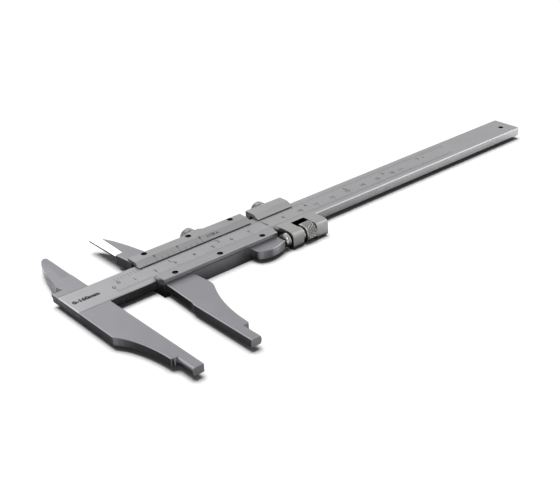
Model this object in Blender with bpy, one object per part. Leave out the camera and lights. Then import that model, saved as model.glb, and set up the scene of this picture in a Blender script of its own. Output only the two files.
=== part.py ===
"""Vernier caliper with nib jaws, knife-edge jaws and a fine-adjustment carriage.

Lengths are metres. Shapes are laid out on the beam: x runs along the beam from the fixed
jaw's measuring face, y = 0 is the beam's centre line, z = 0 is the slider's back. The
datum empty then puts the origin at the centre of the fixed jaw's measuring face.
"""
import math

import bmesh
import bpy
from mathutils import Matrix, Vector

MM = 0.001

# Measuring setting
REST_OPENING = 21.6 * MM
FIT_GAP = 0.3 * MM

# Beam
BEAM_WIDTH = 16.5 * MM
BEAM_THICKNESS = 4.2 * MM
BEAM_END_X = 257.0 * MM
BEAM_CHAMFER = 0.35 * MM
BEAM_CORNER_RADIUS = 1.0 * MM
HANG_HOLE_X = 250.4 * MM
HANG_HOLE_Y = -1.0 * MM
HANG_HOLE_RADIUS = 1.3 * MM
LAP_END_X = 7.4 * MM
LAP_THICKNESS = 2.0 * MM
SEAM_GAP = 0.1 * MM

# Heights above the slider's back
BACK_WALL = 1.7 * MM
BEAM_BACK_Z = BACK_WALL + FIT_GAP
BEAM_FACE_Z = BEAM_BACK_Z + BEAM_THICKNESS
JAW_TOP_Z = BEAM_FACE_Z - 0.15 * MM
JAW_THICKNESS = 3.75 * MM
JAW_BACK_Z = JAW_TOP_Z - JAW_THICKNESS
JAW_MID_Z = (JAW_TOP_Z + JAW_BACK_Z) / 2
KNIFE_TOP_Z = BEAM_FACE_Z + 0.9 * MM
PLATE_BACK_Z = BEAM_FACE_Z + FIT_GAP
PLATE_TOP_Z = BEAM_FACE_Z + 2.1 * MM
LUG_BACK_Z = 1.9 * MM
AXIS_Z = PLATE_TOP_Z / 2
JAW_CHAMFER = 0.2 * MM
UNION_STEP = 0.1 * MM
CUT_OVERRUN = 1 * MM

# Jaws, as distances from the beam's centre line
JAW_REACH = 69.5 * MM
NIB_START = 59.3 * MM
NIB_WIDTH = 4.2 * MM
NIB_CROWN = 0.7 * MM
NIB_RELIEF = 0.3 * MM
NIB_STOCK = 0.4 * MM
KNIFE_REACH = 42.6 * MM
KNIFE_BEVEL_START = 21.3 * MM
KNIFE_TIP_Y = 43.2 * MM
FIXED_KNIFE_SLOPE = 0.11
SLIDING_KNIFE_SLOPE = 0.242
FIXED_KNIFE_BACK_DROP = 2.3 * MM
SLIDING_KNIFE_BACK_DROP = 3.0 * MM
FIXED_JAW_WIDTH = 14.14 * MM

# Slider, with x measured from the sliding jaw's measuring face
SLIDER_X0 = 0.5 * MM
SLIDER_LENGTH = 60.3 * MM
SLIDER_X1 = SLIDER_X0 + SLIDER_LENGTH
HALF_WIDTH = 13.3 * MM
GIB_THICKNESS = 1.2 * MM
NEAR_WALL_Y = -(BEAM_WIDTH / 2 + FIT_GAP)
GIB_Y0 = BEAM_WIDTH / 2 + FIT_GAP
GIB_Y1 = GIB_Y0 + GIB_THICKNESS
FAR_WALL_Y = GIB_Y1 + FIT_GAP
PLATE_START_X = SLIDER_X0 + 0.3 * MM
UPPER_LIP_Y = 4.5 * MM
UPPER_FLAT_Y = 7.8 * MM
UPPER_PLATE_Y = 13.0 * MM
UPPER_SEAT_GAP = 0.2 * MM
LOWER_LIP_Y = 5.8 * MM
LOWER_FLAT_Y = 8.3 * MM
PLATE_LIP_THICKNESS = 0.2 * MM
PLATE_SCREW_PITCH = 23.1 * MM
PLATE_SCREW_Y = 11.3 * MM
PLATE_SCREW_MIDDLE_X = 30.95 * MM
SLIDER_CLAMP_X = 35.2 * MM
BOSS_Y = HALF_WIDTH + 1.0 * MM
GIB_SCREW_XS = (12.15 * MM, 46.15 * MM)

# Plate screws
COUNTERBORE_RADIUS = 1.3 * MM
COUNTERBORE_DEPTH = 0.75 * MM
HEAD_RADIUS = 1.05 * MM
HEAD_THICKNESS = 0.35 * MM
HEAD_SEAT_GAP = 0.1 * MM
SHANK_RADIUS = 0.5 * MM
SHANK_HOLE_RADIUS = 0.8 * MM
SHANK_LENGTH = 4.2 * MM
SHANK_HOLE_DEPTH = 3.3 * MM
SLOT_WIDTH = 0.35 * MM
SLOT_DEPTH = 0.2 * MM

# Gib set screws
SET_SCREW_RADIUS = 1.0 * MM
SET_SCREW_HOLE_RADIUS = 1.3 * MM
SET_SCREW_LENGTH = 2.6 * MM

# Clamp screws
CLAMP_HEAD_RADIUS = 4.0 * MM
CLAMP_HEAD_LENGTH = 3.8 * MM
CLAMP_NECK_RADIUS = 2.4 * MM
CLAMP_SHANK_RADIUS = 1.5 * MM
CLAMP_HOLE_RADIUS = 1.8 * MM
CLAMP_STANDOFF = 0.9 * MM
CLAMP_NECK_CLEARANCE = 0.2 * MM
SCREW_TIP_CLEARANCE = 0.15 * MM
SCREW_TIP_LENGTH = 0.5 * MM
EDGE_BREAK = 0.4 * MM

# Carriage, with x measured from its left face
CARRIAGE_GAP = 3.8 * MM
CARRIAGE_LENGTH = 20.4 * MM
CARRIAGE_NEAR_Y = -19.6 * MM
CARRIAGE_CORNER_RADIUS = 2.3 * MM
CARRIAGE_CLAMP_X = 10.0 * MM
WINDOW_X0 = 6.1 * MM
WINDOW_X1 = 13.9 * MM
WINDOW_Y = -10.7 * MM

# Fine adjustment screw and nut
FEED_Y = -15.9 * MM
FEED_Z = 4.3 * MM
FEED_SCREW_RADIUS = 1.25 * MM
FEED_HOLE_RADIUS = 1.5 * MM
FEED_SCREW_X0 = 51.5 * MM
FEED_SCREW_X1 = 84.0 * MM
LOCK_NUT_RADIUS = 3.1 * MM
LOCK_NUT_LENGTH = 2.7 * MM
LOCK_NUT_EDGE = 0.25 * MM
LOCK_NUT_GAP = 0.45 * MM
NUT_RADIUS = 4.25 * MM
NUT_COLLAR_RADIUS = 3.4 * MM
NUT_COLLAR_LENGTH = 1.0 * MM
NUT_GROOVE_RADIUS = 2.9 * MM
NUT_GROOVE_LENGTH = 0.45 * MM
NUT_EDGE = 0.35 * MM

ROUND_SEGMENTS = 32
SMALL_SEGMENTS = 20
SHARP_ANGLE = math.radians(35)

X_AXIS = Vector((1, 0, 0))
Y_AXIS = Vector((0, 1, 0))
Z_AXIS = Vector((0, 0, 1))


def remove_everything():
    for obj in list(bpy.data.objects):
        bpy.data.objects.remove(obj, do_unlink=True)


def make_material(name, colour, roughness, metallic=1.0):
    material = bpy.data.materials.new(name)
    material.use_nodes = True
    shader = material.node_tree.nodes["Principled BSDF"]
    shader.inputs["Base Color"].default_value = (*colour, 1.0)
    shader.inputs["Roughness"].default_value = roughness
    shader.inputs["Metallic"].default_value = metallic
    return material


def make_empty(name, parent=None, location=(0, 0, 0)):
    empty = bpy.data.objects.new(name, None)
    empty.location = location
    empty.parent = parent
    bpy.context.scene.collection.objects.link(empty)
    return empty


def make_object(name, bm, parent, location=(0, 0, 0)):
    """Turns a bmesh into an object, with its faces pointing out and its round faces smooth."""
    bmesh.ops.recalc_face_normals(bm, faces=bm.faces)
    mesh = bpy.data.meshes.new(name)
    bm.to_mesh(mesh)
    bm.free()
    mesh.shade_smooth()
    mesh.set_sharp_from_angle(angle=SHARP_ANGLE)
    obj = bpy.data.objects.new(name, mesh)
    obj.location = location
    obj.parent = parent
    bpy.context.scene.collection.objects.link(obj)
    return obj


def as_tool(obj):
    obj.hide_render = True
    obj.display_type = "WIRE"
    return obj


def combine(obj, tool, operation):
    as_tool(tool)
    modifier = obj.modifiers.new(f"{operation.lower()} {tool.name}", "BOOLEAN")
    modifier.operation = operation
    modifier.solver = "EXACT"
    modifier.object = tool


def cut(obj, *tools):
    for tool in tools:
        combine(obj, tool, "DIFFERENCE")


def join(obj, *tools):
    for tool in tools:
        combine(obj, tool, "UNION")


def bridge(bm, lower, upper):
    count = len(lower)
    for i in range(count):
        j = (i + 1) % count
        bm.faces.new((lower[i], lower[j], upper[j], upper[i]))


def loft(levels):
    """A closed solid through loops that all have the same number of points."""
    bm = bmesh.new()
    loops = [[bm.verts.new(point) for point in level] for level in levels]
    for lower, upper in zip(loops, loops[1:]):
        bridge(bm, lower, upper)
    bm.faces.new(list(reversed(loops[0])))
    bm.faces.new(loops[-1])
    return bm


def inset(outline, distance):
    """Moves every edge of an outline inwards; the outline runs anticlockwise."""
    points = [Vector(point) for point in outline]
    moved = []
    for i, here in enumerate(points):
        before = (here - points[i - 1]).normalized()
        after = (points[(i + 1) % len(points)] - here).normalized()
        normal_before = Vector((-before.y, before.x))
        normal_after = Vector((-after.y, after.x))
        mitre = (normal_before + normal_after).normalized()
        moved.append(here + mitre * (distance / mitre.dot(normal_after)))
    return moved


def plate(outline, z_low, z_high, chamfer=0.0):
    """Extrudes an x-y outline upwards, with its top and bottom edges chamfered."""
    if not chamfer:
        return loft([[(x, y, z) for x, y in outline] for z in (z_low, z_high)])
    narrow = inset(outline, chamfer)
    steps = [(narrow, z_low), (outline, z_low + chamfer)]
    steps += [(outline, z_high - chamfer), (narrow, z_high)]
    return loft([[(x, y, z) for x, y in loop] for loop, z in steps])


def rail(section, x_low, x_high):
    """Extrudes a y-z section along x."""
    return loft([[(x, y, z) for y, z in section] for x in (x_low, x_high)])


def box(low, high):
    (x0, y0, z0), (x1, y1, z1) = low, high
    return plate([(x0, y0), (x1, y0), (x1, y1), (x0, y1)], z0, z1)


def hull(points):
    bm = bmesh.new()
    for point in points:
        bm.verts.new(point)
    result = bmesh.ops.convex_hull(bm, input=bm.verts)
    spare = [item for item in result["geom_interior"] if isinstance(item, bmesh.types.BMVert)]
    bmesh.ops.delete(bm, geom=spare, context="VERTS")
    return bm


def turned(profile, axis, segments=ROUND_SEGMENTS):
    """Revolves (distance along axis, radius) pairs about an axis through the origin."""
    turn = axis.to_track_quat("Z", "Y").to_matrix() if axis != Z_AXIS else Matrix.Identity(3)
    levels = []
    for along, radius in profile:
        level = []
        for i in range(segments):
            angle = 2 * math.pi * i / segments
            point = Vector((radius * math.cos(angle), radius * math.sin(angle), along))
            level.append(turn @ point)
        levels.append(level)
    return loft(levels)


def rod(radius, start, end, axis, segments=SMALL_SEGMENTS):
    return turned([(start, radius), (end, radius)], axis, segments)


def arc(centre, radius, start_degrees, end_degrees, steps):
    points = []
    for i in range(steps + 1):
        angle = math.radians(start_degrees + (end_degrees - start_degrees) * i / steps)
        points.append((centre[0] + radius * math.cos(angle), centre[1] + radius * math.sin(angle)))
    return points


def bezier(start, handle_a, handle_b, end, steps=10):
    """Points on a cubic curve, without its first point."""
    points = []
    for i in range(1, steps + 1):
        t = i / steps
        weights = ((1 - t) ** 3, 3 * t * (1 - t) ** 2, 3 * t * t * (1 - t), t**3)
        knots = (start, handle_a, handle_b, end)
        x = sum(w * k[0] for w, k in zip(weights, knots))
        y = sum(w * k[1] for w, k in zip(weights, knots))
        points.append((x, y))
    return points


def mm(*pairs):
    return [(x * MM, y * MM) for x, y in pairs]


# ---- beam -------------------------------------------------------------------


def build_beam(parent, steel):
    half = BEAM_WIDTH / 2
    radius = BEAM_CORNER_RADIUS
    left = -FIXED_JAW_WIDTH
    outline = [(left, -half)]
    outline += arc((BEAM_END_X - radius, -half + radius), radius, -90, 0, 5)
    outline += arc((BEAM_END_X - radius, half - radius), radius, 0, 90, 5)
    outline += [(left, half)]
    beam = make_object("beam", plate(outline, BEAM_BACK_Z, BEAM_FACE_Z, BEAM_CHAMFER), parent)
    hole = make_object(
        "hanging hole cutter",
        rod(HANG_HOLE_RADIUS, -CUT_OVERRUN, BEAM_THICKNESS + CUT_OVERRUN, Z_AXIS, ROUND_SEGMENTS),
        parent,
        (HANG_HOLE_X, HANG_HOLE_Y, BEAM_BACK_Z),
    )
    lap = make_object(
        "half lap cutter",
        box(
            (left - CUT_OVERRUN, -BEAM_WIDTH, BEAM_BACK_Z - CUT_OVERRUN),
            (LAP_END_X, BEAM_WIDTH, BEAM_FACE_Z - LAP_THICKNESS),
        ),
        parent,
    )
    cut(beam, hole, lap)
    beam.data.materials.append(steel)


# ---- jaws -------------------------------------------------------------------


def nib_cutter(name, face_x, side, parent):
    """Trims a nib's outer side to a crowned face, widest at mid thickness."""
    outer = face_x + side * (NIB_WIDTH + NIB_CROWN)
    half_height = JAW_THICKNESS / 2
    radius = (half_height**2 + NIB_CROWN**2) / (2 * NIB_CROWN)
    spread = math.degrees(math.asin(half_height / radius))
    crown = arc((outer - side * radius, JAW_MID_Z), radius, -spread, spread, 8)
    if side < 0:
        crown = arc((outer + radius, JAW_MID_Z), radius, 180 + spread, 180 - spread, 8)
    far = outer + side * 2 * MM
    section = [(far, JAW_BACK_Z - CUT_OVERRUN), (crown[0][0], JAW_BACK_Z - CUT_OVERRUN)]
    section += crown
    section += [(crown[-1][0], JAW_TOP_Z + CUT_OVERRUN), (far, JAW_TOP_Z + CUT_OVERRUN)]
    nib_ends = (-JAW_REACH - CUT_OVERRUN, -NIB_START - NIB_RELIEF)
    levels = [[(x, y, z) for x, z in section] for y in nib_ends]
    return make_object(name, loft(levels), parent)


def build_fixed_jaw(parent, steel):
    half = BEAM_WIDTH / 2
    nib_outer = -(NIB_WIDTH + NIB_CROWN + NIB_STOCK)
    outline = [(LAP_END_X - SEAM_GAP, -half), (LAP_END_X - SEAM_GAP, half), (0, half)]
    outline += [(0, KNIFE_REACH - 0.9 * MM)]
    outline += mm((-0.7, 42.5), (-1.9, 42.2), (-3.2, 41.0), (-4.7, 38.3), (-6.7, 32.6), (-11.3, 16.2))
    outline += [(-FIXED_JAW_WIDTH, 13.2 * MM), (-FIXED_JAW_WIDTH, -32.1 * MM)]
    start = (-FIXED_JAW_WIDTH, -32.1 * MM)
    shoulder = (-6.9 * MM, -NIB_START + 0.4 * MM)
    outline += bezier(start, *mm((-10.2, -37.2), (-7.4, -47.0)), shoulder)
    outline += [(-6.7 * MM, -NIB_START), (nib_outer - NIB_RELIEF, -NIB_START)]
    outline += [(nib_outer, -NIB_START - NIB_RELIEF), (nib_outer, -JAW_REACH)]
    outline += [(0, -JAW_REACH), (0, -half)]
    jaw = make_object("fixed_jaw", plate(outline, JAW_BACK_Z, JAW_TOP_Z, JAW_CHAMFER), parent)
    strip = make_object(
        "beam seat cutter",
        box(
            (-FIXED_JAW_WIDTH - CUT_OVERRUN, -half - SEAM_GAP, BEAM_FACE_Z - LAP_THICKNESS - SEAM_GAP),
            (LAP_END_X + CUT_OVERRUN, half + SEAM_GAP, JAW_TOP_Z + CUT_OVERRUN),
        ),
        parent,
    )
    front = knife_bevel(-1, JAW_TOP_Z, 4.5 * MM, 3.5 * MM, FIXED_KNIFE_SLOPE)
    bevel = make_object("fixed knife bevel cutter", front, parent)
    back = knife_back_bevel(-1, FIXED_KNIFE_BACK_DROP)
    back_bevel = make_object("fixed knife back bevel cutter", back, parent)
    flank = make_object("fixed knife flank cutter", knife_flank(), parent)
    nib = nib_cutter("fixed nib cutter", 0, -1, parent)
    cut(jaw, strip, bevel, back_bevel, flank, nib)
    jaw.data.materials.append(steel)


def knife_bevel(side, top_z, root_width, tip_width, slope):
    """A wedge that slopes the knife's face evenly down to its measuring edge at x = 0."""
    over = CUT_OVERRUN
    end = KNIFE_REACH + 2 * MM
    points = []
    for y, width in ((KNIFE_BEVEL_START, root_width), (end, tip_width)):
        points.append((side * width, y, top_z))
        points.append((side * (width + over), y, top_z + over))
        points.append((-side * over, y, top_z - slope * (width + over)))
        points.append((-side * over, y, top_z + over))
    return hull(points)


def knife_flank():
    """Trims the fixed knife's outer side, which leans out from its face to its back."""
    over = CUT_OVERRUN
    levels = []
    for y, top_x, lean in ((12.4, -9.3, 1.4), (16.2, -10.1, 1.2), (32.6, -6.5, 0.2), (36.0, -5.5, 0.0)):
        x_top = top_x * MM
        x_back = (top_x - lean) * MM
        slope = lean * MM / (JAW_TOP_Z - JAW_BACK_Z)
        levels.append(
            [
                (x_back, y * MM, JAW_BACK_Z),
                (x_top + slope * over, y * MM, JAW_TOP_Z + over),
                (x_top - 4 * over, y * MM, JAW_TOP_Z + over),
                (x_back - 4 * over, y * MM, JAW_BACK_Z),
            ]
        )
    return loft(levels)


def knife_back_bevel(side, drop):
    """The steeper bevel behind the knife's measuring edge."""
    width = 4.0 * MM
    over = CUT_OVERRUN
    rise = drop * (1 + over / width)
    points = []
    for y in (KNIFE_BEVEL_START, KNIFE_REACH + 2 * MM):
        points.append((side * width, y, JAW_BACK_Z))
        points.append((side * width, y, JAW_BACK_Z - over))
        points.append((-side * over, y, JAW_BACK_Z + rise))
        points.append((-side * over, y, JAW_BACK_Z - over))
    return hull(points)


def sliding_jaw(parent):
    nib_outer = NIB_WIDTH + NIB_CROWN + NIB_STOCK
    root = -(HALF_WIDTH - 0.8 * MM)
    outline = [(1.6 * MM, root), (1.6 * MM, -15.5 * MM)]
    outline += mm((0.65, -32.0), (0.0, -34.2))
    outline += [(0, -JAW_REACH), (nib_outer, -JAW_REACH), (nib_outer, -NIB_START - NIB_RELIEF)]
    outline += [(nib_outer + NIB_RELIEF, -NIB_START), (7.1 * MM, -NIB_START)]
    shoulder = (7.3 * MM, -NIB_START + 0.4 * MM)
    knee = (15.2 * MM, -27.5 * MM)
    outline += [shoulder] + bezier(shoulder, *mm((7.7, -46.0), (10.6, -36.2)), knee)
    outline += mm((15.75, -25.6), (15.8, -23.5), (15.2, -16.0)) + [(15.0 * MM, root)]
    jaw = make_object("sliding nib jaw", plate(outline, JAW_BACK_Z, JAW_TOP_Z, JAW_CHAMFER), parent)
    cut(jaw, nib_cutter("sliding nib cutter", 0, 1, parent))
    return jaw


def sliding_knife(parent):
    root = HALF_WIDTH - 0.8 * MM
    outline = [(0.8 * MM, root), (11.0 * MM, root)]
    outline += mm((10.7, 15.2), (10.2, 17.7), (8.9, 24.3), (6.6, 32.7), (4.6, 37.7))
    outline += mm((3.9, 39.1), (2.9, 40.3)) + [(0, KNIFE_TIP_Y), (0, KNIFE_BEVEL_START - 0.6 * MM)]
    solid = plate(outline, JAW_BACK_Z, KNIFE_TOP_Z - UNION_STEP / 2, JAW_CHAMFER)
    knife = make_object("sliding knife", solid, parent)
    front = knife_bevel(1, KNIFE_TOP_Z, 3.3 * MM, 4.2 * MM, SLIDING_KNIFE_SLOPE)
    bevel = make_object("sliding knife bevel cutter", front, parent)
    back = knife_back_bevel(1, SLIDING_KNIFE_BACK_DROP)
    back_bevel = make_object("sliding knife back bevel cutter", back, parent)
    cut(knife, bevel, back_bevel)
    return knife


# ---- slider -----------------------------------------------------------------


def plate_screw_places():
    places = []
    for side_name, side in (("upper", 1), ("lower", -1)):
        for index, step in enumerate((-1, 0, 1), start=1):
            x = PLATE_SCREW_MIDDLE_X + step * PLATE_SCREW_PITCH
            places.append((f"{side_name}_plate_screw_{index}", side_name, x, side * PLATE_SCREW_Y))
    return places


def boss_outline(y_inner):
    x = SLIDER_CLAMP_X
    return [
        (x - 5.2 * MM, y_inner),
        (x + 5.2 * MM, y_inner),
        (x + 4.6 * MM, HALF_WIDTH),
        (x + 3.0 * MM, BOSS_Y),
        (x - 3.0 * MM, BOSS_Y),
        (x - 4.6 * MM, HALF_WIDTH),
    ]


def lug_outline():
    """The thumb lug that carries the fine adjustment screw."""
    root = -HALF_WIDTH + 0.8 * MM
    outline = [(SLIDER_X1, root)]
    outline += mm((45.3, root / MM), (45.5, -13.3), (45.7, -16.6))
    outline += bezier(outline[-1], *mm((46.0, -19.2), (49.2, -20.4), (52.4, -20.4)), 8)
    outline += bezier(outline[-1], *mm((55.4, -20.4), (58.0, -19.4)), (SLIDER_X1, -18.5 * MM), 5)
    return outline


def channel_section():
    c = JAW_CHAMFER
    return [
        (-HALF_WIDTH + c, 0),
        (HALF_WIDTH - c, 0),
        (HALF_WIDTH, c),
        (HALF_WIDTH, KNIFE_TOP_Z),
        (FAR_WALL_Y, KNIFE_TOP_Z),
        (FAR_WALL_Y, BACK_WALL),
        (NEAR_WALL_Y, BACK_WALL),
        (NEAR_WALL_Y, BEAM_FACE_Z),
        (-HALF_WIDTH, BEAM_FACE_Z),
        (-HALF_WIDTH, c),
    ]


def build_slider_body(parent, steel):
    body = make_object("slider_body", rail(channel_section(), SLIDER_X0, SLIDER_X1), parent)
    boss_solid = plate(boss_outline(FAR_WALL_Y + 0.6 * MM), 2 * UNION_STEP, KNIFE_TOP_Z - UNION_STEP)
    boss = make_object("clamp boss", boss_solid, parent)
    lug_solid = plate(lug_outline(), LUG_BACK_Z, JAW_TOP_Z, JAW_CHAMFER)
    lug = make_object("thumb lug", lug_solid, parent)
    join(body, sliding_jaw(parent), sliding_knife(parent), boss, lug)

    cutters = []
    for name, _, x, y in plate_screw_places():
        hole = rod(SHANK_HOLE_RADIUS, -SHANK_HOLE_DEPTH, 2 * MM, Z_AXIS)
        cutters.append(make_object(f"{name} body hole", hole, parent, (x, y, BEAM_FACE_Z)))
    for index, x in enumerate(GIB_SCREW_XS, start=1):
        hole = rod(SET_SCREW_HOLE_RADIUS, FAR_WALL_Y - 0.6 * MM, HALF_WIDTH + CUT_OVERRUN, Y_AXIS)
        cutters.append(make_object(f"gib screw hole {index}", hole, parent, (x, 0, AXIS_Z)))
    clamp = rod(CLAMP_HOLE_RADIUS, FAR_WALL_Y - 0.6 * MM, BOSS_Y + CUT_OVERRUN, Y_AXIS)
    cutters.append(make_object("slider clamp hole", clamp, parent, (SLIDER_CLAMP_X, 0, AXIS_Z)))
    feed = rod(FEED_HOLE_RADIUS, FEED_SCREW_X0 - 0.3 * MM, SLIDER_X1 + CUT_OVERRUN, X_AXIS)
    cutters.append(make_object("feed screw hole", feed, parent, (0, FEED_Y, FEED_Z)))
    cut(body, *cutters)
    body.data.materials.append(steel)


def upper_plate_section():
    """Sits on the far wall, with a ridge that drops beside the wall to the beam's face."""
    seat = KNIFE_TOP_Z + UPPER_SEAT_GAP
    ridge = FAR_WALL_Y - FIT_GAP
    return [
        (UPPER_LIP_Y, PLATE_BACK_Z),
        (ridge, PLATE_BACK_Z),
        (ridge, seat),
        (UPPER_PLATE_Y, seat),
        (UPPER_PLATE_Y, PLATE_TOP_Z - JAW_CHAMFER),
        (UPPER_PLATE_Y - JAW_CHAMFER, PLATE_TOP_Z),
        (UPPER_FLAT_Y, PLATE_TOP_Z),
        (UPPER_LIP_Y, PLATE_BACK_Z + PLATE_LIP_THICKNESS),
    ]


def lower_plate_section():
    return [
        (-LOWER_LIP_Y, PLATE_BACK_Z),
        (-LOWER_LIP_Y, PLATE_BACK_Z + PLATE_LIP_THICKNESS),
        (-LOWER_FLAT_Y, PLATE_TOP_Z),
        (-HALF_WIDTH + JAW_CHAMFER, PLATE_TOP_Z),
        (-HALF_WIDTH, PLATE_TOP_Z - JAW_CHAMFER),
        (-HALF_WIDTH, PLATE_BACK_Z),
    ]


def build_vernier_plate(side_name, section, parent, steel):
    solid = rail(section, PLATE_START_X, SLIDER_X1)
    plate_object = make_object(f"{side_name}_vernier_plate", solid, parent)
    if side_name == "upper":
        seat = KNIFE_TOP_Z + UPPER_SEAT_GAP
        boss = plate(boss_outline(UPPER_FLAT_Y + 2.4 * MM), seat, PLATE_TOP_Z - UNION_STEP)
        join(plate_object, make_object("plate boss", boss, parent))
    cutters = []
    for name, owner, x, y in plate_screw_places():
        if owner == side_name:
            profile = [
                (-3 * MM, SHANK_HOLE_RADIUS),
                (-COUNTERBORE_DEPTH, SHANK_HOLE_RADIUS),
                (-COUNTERBORE_DEPTH, COUNTERBORE_RADIUS),
                (CUT_OVERRUN, COUNTERBORE_RADIUS),
            ]
            hole = turned(profile, Z_AXIS, ROUND_SEGMENTS)
            cutters.append(make_object(f"{name} counterbore", hole, parent, (x, y, PLATE_TOP_Z)))
    cut(plate_object, *cutters)
    plate_object.data.materials.append(steel)


def slot_cutter(name, radius, top, axis, parent, location):
    half = SLOT_WIDTH / 2
    if axis == Z_AXIS:
        bm = box((-radius * 2, -half, top - SLOT_DEPTH), (radius * 2, half, top + CUT_OVERRUN))
        bmesh.ops.rotate(bm, verts=bm.verts, matrix=Matrix.Rotation(math.radians(40), 3, "Z"))
    else:
        bm = box((-radius * 2, top - SLOT_DEPTH, -half), (radius * 2, top + CUT_OVERRUN, half))
    return make_object(name, bm, parent, location)


def build_plate_screw(name, x, y, parent, steel):
    head_low = PLATE_TOP_Z - COUNTERBORE_DEPTH + HEAD_SEAT_GAP
    profile = [
        (-SHANK_LENGTH, SHANK_RADIUS),
        (0, SHANK_RADIUS),
        (0, HEAD_RADIUS),
        (HEAD_THICKNESS, HEAD_RADIUS),
    ]
    place = (x, y, head_low)
    screw = make_object(name, turned(profile, Z_AXIS, SMALL_SEGMENTS), parent, place)
    cut(screw, slot_cutter(f"{name} slot", HEAD_RADIUS, HEAD_THICKNESS, Z_AXIS, parent, place))
    screw.data.materials.append(steel)


def build_gib(name, length, start, parent, bronze):
    outline = [(start, GIB_Y0), (start + length, GIB_Y0), (start + length, GIB_Y1), (start, GIB_Y1)]
    gib = make_object(name, plate(outline, BEAM_BACK_Z + 0.1 * MM, BEAM_FACE_Z - 0.1 * MM), parent)
    gib.data.materials.append(bronze)


def build_gib_screw(index, x, parent, steel):
    inner = GIB_Y1 + SCREW_TIP_CLEARANCE
    outer = inner + SET_SCREW_LENGTH
    place = (x, 0, AXIS_Z)
    name = f"gib_screw_{index}"
    profile = [
        (inner, SET_SCREW_RADIUS * 0.5),
        (inner + SCREW_TIP_LENGTH, SET_SCREW_RADIUS),
        (outer, SET_SCREW_RADIUS),
    ]
    screw = make_object(name, turned(profile, Y_AXIS, SMALL_SEGMENTS), parent, place)
    cut(screw, slot_cutter(f"{name} slot", SET_SCREW_RADIUS, outer, Y_AXIS, parent, place))
    screw.data.materials.append(steel)


def build_clamp_screw(name, x, seat_y, parent, steel):
    """A thumb screw on the far side; its origin lies on its own axis."""
    head_y = seat_y + CLAMP_STANDOFF
    end_y = head_y + CLAMP_HEAD_LENGTH
    tip_y = GIB_Y1 + SCREW_TIP_CLEARANCE
    neck_y = seat_y + CLAMP_NECK_CLEARANCE
    profile = [
        (tip_y, CLAMP_SHANK_RADIUS * 0.7),
        (tip_y + SCREW_TIP_LENGTH, CLAMP_SHANK_RADIUS),
        (neck_y, CLAMP_SHANK_RADIUS),
        (neck_y, CLAMP_NECK_RADIUS),
        (head_y, CLAMP_NECK_RADIUS),
        (head_y, CLAMP_HEAD_RADIUS - EDGE_BREAK),
        (head_y + EDGE_BREAK, CLAMP_HEAD_RADIUS),
        (end_y - EDGE_BREAK, CLAMP_HEAD_RADIUS),
        (end_y, CLAMP_HEAD_RADIUS - EDGE_BREAK),
    ]
    screw = make_object(name, turned(profile, Y_AXIS), parent, (x, 0, AXIS_Z))
    screw.data.materials.append(steel)


# ---- fine adjustment --------------------------------------------------------


def carriage_section():
    c = JAW_CHAMFER
    radius = CARRIAGE_CORNER_RADIUS
    corner_y = CARRIAGE_NEAR_Y + radius
    section = [
        (HALF_WIDTH - c, 0),
        (HALF_WIDTH, c),
        (HALF_WIDTH, PLATE_TOP_Z - c),
        (HALF_WIDTH - c, PLATE_TOP_Z),
        (UPPER_FLAT_Y, PLATE_TOP_Z),
        (UPPER_LIP_Y, PLATE_BACK_Z + PLATE_LIP_THICKNESS),
        (UPPER_LIP_Y, PLATE_BACK_Z),
        (FAR_WALL_Y, PLATE_BACK_Z),
        (FAR_WALL_Y, BACK_WALL),
        (NEAR_WALL_Y, BACK_WALL),
        (NEAR_WALL_Y, PLATE_BACK_Z),
        (-LOWER_LIP_Y, PLATE_BACK_Z),
        (-LOWER_LIP_Y, PLATE_BACK_Z + PLATE_LIP_THICKNESS),
        (-LOWER_FLAT_Y, PLATE_TOP_Z),
    ]
    section += arc((corner_y, PLATE_TOP_Z - radius), radius, 90, 180, 8)
    return section + arc((corner_y, radius), radius, 180, 270, 8)


def build_carriage(parent, steel):
    body = make_object("carriage_body", rail(carriage_section(), 0, CARRIAGE_LENGTH), parent)
    window = box((WINDOW_X0, -25 * MM, -CUT_OVERRUN), (WINDOW_X1, WINDOW_Y, PLATE_TOP_Z + CUT_OVERRUN))
    window_cutter = make_object("nut window cutter", window, parent)
    bore = rod(FEED_HOLE_RADIUS, -CUT_OVERRUN, CARRIAGE_LENGTH + CUT_OVERRUN, X_AXIS)
    bore_cutter = make_object("carriage feed bore", bore, parent, (0, FEED_Y, FEED_Z))
    clamp = rod(CLAMP_HOLE_RADIUS, FAR_WALL_Y - 0.6 * MM, HALF_WIDTH + CUT_OVERRUN, Y_AXIS)
    clamp_cutter = make_object("carriage clamp hole", clamp, parent, (CARRIAGE_CLAMP_X, 0, AXIS_Z))
    cut(body, window_cutter, bore_cutter, clamp_cutter)
    body.data.materials.append(steel)


def build_adjusting_screw(parent, steel):
    profile = [
        (FEED_SCREW_X0, FEED_SCREW_RADIUS),
        (FEED_SCREW_X1 - EDGE_BREAK, FEED_SCREW_RADIUS),
        (FEED_SCREW_X1, FEED_SCREW_RADIUS - EDGE_BREAK),
    ]
    solid = turned(profile, X_AXIS, SMALL_SEGMENTS)
    screw = make_object("adjusting_screw", solid, parent, (0, FEED_Y, FEED_Z))
    screw.data.materials.append(steel)


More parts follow.
